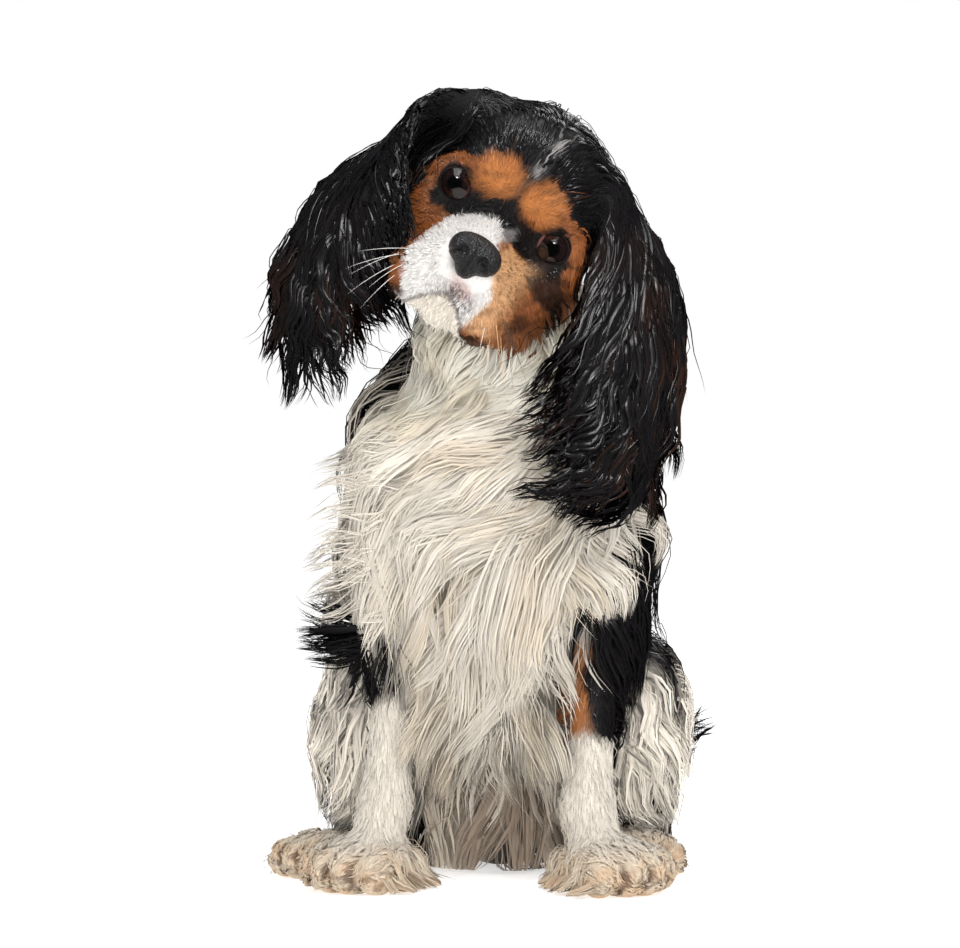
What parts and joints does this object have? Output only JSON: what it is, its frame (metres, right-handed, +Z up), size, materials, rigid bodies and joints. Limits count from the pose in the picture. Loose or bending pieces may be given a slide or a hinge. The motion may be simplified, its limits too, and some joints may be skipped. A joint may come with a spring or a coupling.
{
  "type": "cavalier king charles spaniel, sitting, as a still life-size model",
  "caption": "Sitting tricolour long-eared toy spaniel with its head tilted to one side, as a still life-size model that rests on the floor.",
  "frame": {"origin": "on the floor, under the middle of the whole dog's outline", "axes": "+Z up, the dog faces -Y, +X is the dog's left"},
  "size_m": [0.261, 0.3512, 0.4244],
  "materials": {
    "coat_black": "glossy long hair, black",
    "coat_white": "soft long hair, cream white",
    "nose_leather": "moist pebbled skin",
    "eye": "wet gloss"
  },
  "bodies": {
    "root": {"head": "coat_black", "neck": "coat_black", "torso": "coat_black", "chest": "coat_white", "eye_right": "eye", "eye_left": "eye", "nose": "nose_leather", "ear_right": "coat_black", "ear_left": "coat_black", "front_leg_right": "coat_white", "front_paw_right": "coat_white", "front_leg_left": "coat_white", "front_paw_left": "coat_white", "hind_leg_right": "coat_white", "hind_paw_right": "coat_white", "hind_leg_left": "coat_white", "hind_paw_left": "coat_white", "tail": "coat_black"}
  },
  "joints": []
}
